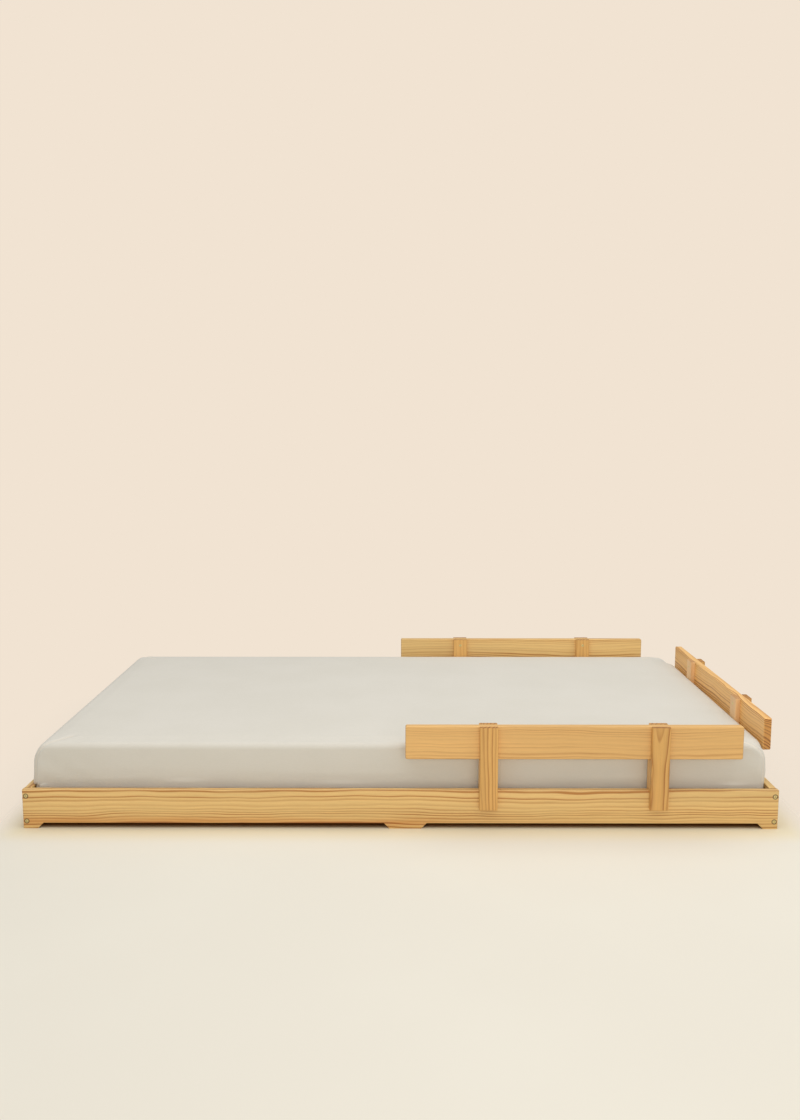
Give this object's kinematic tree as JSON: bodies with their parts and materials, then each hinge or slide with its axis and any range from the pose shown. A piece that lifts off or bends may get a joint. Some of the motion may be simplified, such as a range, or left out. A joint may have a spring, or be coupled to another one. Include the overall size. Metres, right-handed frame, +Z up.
{
  "type": "toddler floor bed",
  "caption": "Low pine floor bed for one child: a footed box base with slats, a mattress in a fitted sheet, and short lift-off guard rails at front, rear and head end.",
  "frame": {"origin": "on the floor, under the centre of the whole object's outline seen from above", "axes": "+X along the bed to the head end, where the end rail stands; +Y to the rear side; +Z up"},
  "size_m": [1.9774, 1.105, 0.2745],
  "materials": {
    "pine_frame": "satin",
    "pine_rail": "satin",
    "screw_steel": "satin",
    "mattress_cover": "matte",
    "cotton_sheet": "matte"
  },
  "bodies": {
    "base": {"front_side_board": "pine_frame", "rear_side_board": "pine_frame", "foot_end_board": "pine_frame", "head_end_board": "pine_frame", "front_ledger": "pine_frame", "rear_ledger": "pine_frame", "slat_01": "pine_frame", "slat_02": "pine_frame", "slat_03": "pine_frame", "slat_04": "pine_frame", "slat_05": "pine_frame", "slat_06": "pine_frame", "slat_07": "pine_frame", "slat_08": "pine_frame", "slat_09": "pine_frame", "slat_10": "pine_frame", "slat_11": "pine_frame", "slat_12": "pine_frame", "slat_13": "pine_frame", "slat_14": "pine_frame", "corner_screws": "screw_steel", "ledger_screws": "screw_steel", "slat_screws": "screw_steel"},
    "front_rail": {"front_rail_board": "pine_rail", "front_rail_left_outer_batten": "pine_rail", "front_rail_left_inner_batten": "pine_rail", "front_rail_left_rest_block": "pine_rail", "front_rail_right_outer_batten": "pine_rail", "front_rail_right_inner_batten": "pine_rail", "front_rail_right_rest_block": "pine_rail", "front_rail_screws": "screw_steel"},
    "rear_rail": {"rear_rail_board": "pine_rail", "rear_rail_left_outer_batten": "pine_rail", "rear_rail_left_inner_batten": "pine_rail", "rear_rail_left_rest_block": "pine_rail", "rear_rail_right_outer_batten": "pine_rail", "rear_rail_right_inner_batten": "pine_rail", "rear_rail_right_rest_block": "pine_rail", "rear_rail_screws": "screw_steel"},
    "head_rail": {"head_rail_board": "pine_rail", "head_rail_left_outer_batten": "pine_rail", "head_rail_left_inner_batten": "pine_rail", "head_rail_left_rest_block": "pine_rail", "head_rail_right_outer_batten": "pine_rail", "head_rail_right_inner_batten": "pine_rail", "head_rail_right_rest_block": "pine_rail", "head_rail_screws": "screw_steel"},
    "mattress": {"mattress": "mattress_cover", "fitted_sheet": "cotton_sheet"}
  },
  "joints": [
    {"name": "front_rail_lift", "type": "slide", "parent": "base", "child": "front_rail", "axis": [0, 0, 1], "range_m": [0, 0.16]},
    {"name": "rear_rail_lift", "type": "slide", "parent": "base", "child": "rear_rail", "axis": [0, 0, 1], "range_m": [0, 0.16]},
    {"name": "head_rail_lift", "type": "slide", "parent": "base", "child": "head_rail", "axis": [0, 0, 1], "range_m": [0, 0.16]},
    {"name": "mattress_lift", "type": "slide", "parent": "base", "child": "mattress", "axis": [0, 0, 1], "range_m": [0, 0.23]}
  ]
}
